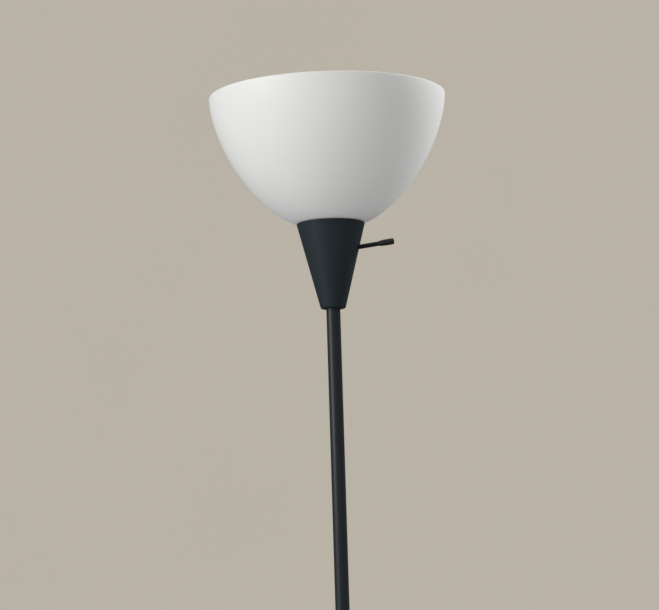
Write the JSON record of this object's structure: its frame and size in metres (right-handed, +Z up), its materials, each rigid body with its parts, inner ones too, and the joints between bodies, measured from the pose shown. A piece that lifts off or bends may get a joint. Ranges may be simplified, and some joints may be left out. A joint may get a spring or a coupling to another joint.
{
  "type": "torchiere floor lamp",
  "caption": "Floor lamp that lights the ceiling: an upright bowl shade on a black cone, turned on by a side handle, on a sectioned tube pole with a round weighted base.",
  "frame": {"origin": "centre of the round base, on the floor", "axes": "+Z up the pole, +X the side the switch handle points to (it rises 6 degrees from +X), -Y the front, +Y the back with the cord gland"},
  "size_m": [0.28, 0.2819, 1.8015],
  "materials": {
    "foam_pad": "matte foam",
    "base_sheet": "matte",
    "cast_weight": "rough cast",
    "black_satin": "satin powder coat",
    "black_cone": "smooth satin paint",
    "zinc_steel": "zinc plated",
    "black_plastic": "moulded",
    "black_rubber": "matte",
    "natural_plastic": "moulded",
    "brass_parts": "plain",
    "white_shade": "matte translucent white",
    "black_stem": "satin paint",
    "black_grip": "satin moulded",
    "lead_sheath": "matte",
    "nickel_cap": "nickel plated",
    "black_glass": "glossy insulator",
    "bulb_housing": "satin moulded",
    "bulb_diffuser": "frosted diffuser"
  },
  "bodies": {
    "lamp": {"base_pad": "foam_pad", "base_plate": "base_sheet", "base_weight": "cast_weight", "base_cover": "black_satin", "base_stud": "zinc_steel", "base_nut": "zinc_steel", "base_washer": "zinc_steel", "foot_washer": "black_plastic", "cord_gland": "black_rubber", "terminal_block": "natural_plastic", "block_clamps": "brass_parts", "block_screws": "zinc_steel", "pole_inserts": "zinc_steel", "pole_studs": "zinc_steel", "socket_cone": "black_cone", "cone_stud": "zinc_steel", "cone_star_washer": "zinc_steel", "cone_nut": "zinc_steel", "socket_cap": "black_plastic", "cap_set_screw": "zinc_steel", "socket_base": "black_plastic", "terminal_screws": "brass_parts", "socket_body": "black_plastic", "screw_shell": "brass_parts", "centre_contact": "brass_parts", "shade": "white_shade", "shade_ring": "black_plastic", "switch_bushing": "black_plastic", "switch_leaves": "brass_parts", "inner_lead": "lead_sheath", "pole_section_1": "black_satin", "pole_section_2": "black_satin", "pole_section_3": "black_satin", "pole_section_4": "black_satin", "pole_section_5": "black_satin"},
    "switch": {"switch_spindle": "black_stem", "switch_cam": "natural_plastic", "switch_clip": "zinc_steel", "switch_grip": "black_grip"},
    "bulb": {"bulb_cap": "nickel_cap", "bulb_insulator": "black_glass", "bulb_contact": "brass_parts", "bulb_housing": "bulb_housing", "bulb_board": "natural_plastic", "bulb_globe": "bulb_diffuser"}
  },
  "joints": [
    {"name": "switch_turn", "type": "hinge", "parent": "lamp", "child": "switch", "pos_m": [0, 0, 1.6208], "axis": [0.9945, 0, 0.1045], "continuous": true},
    {"name": "bulb_unscrew", "type": "slide", "parent": "lamp", "child": "bulb", "axis": [0, 0, 1], "range_m": [0, 0.03]}
  ]
}
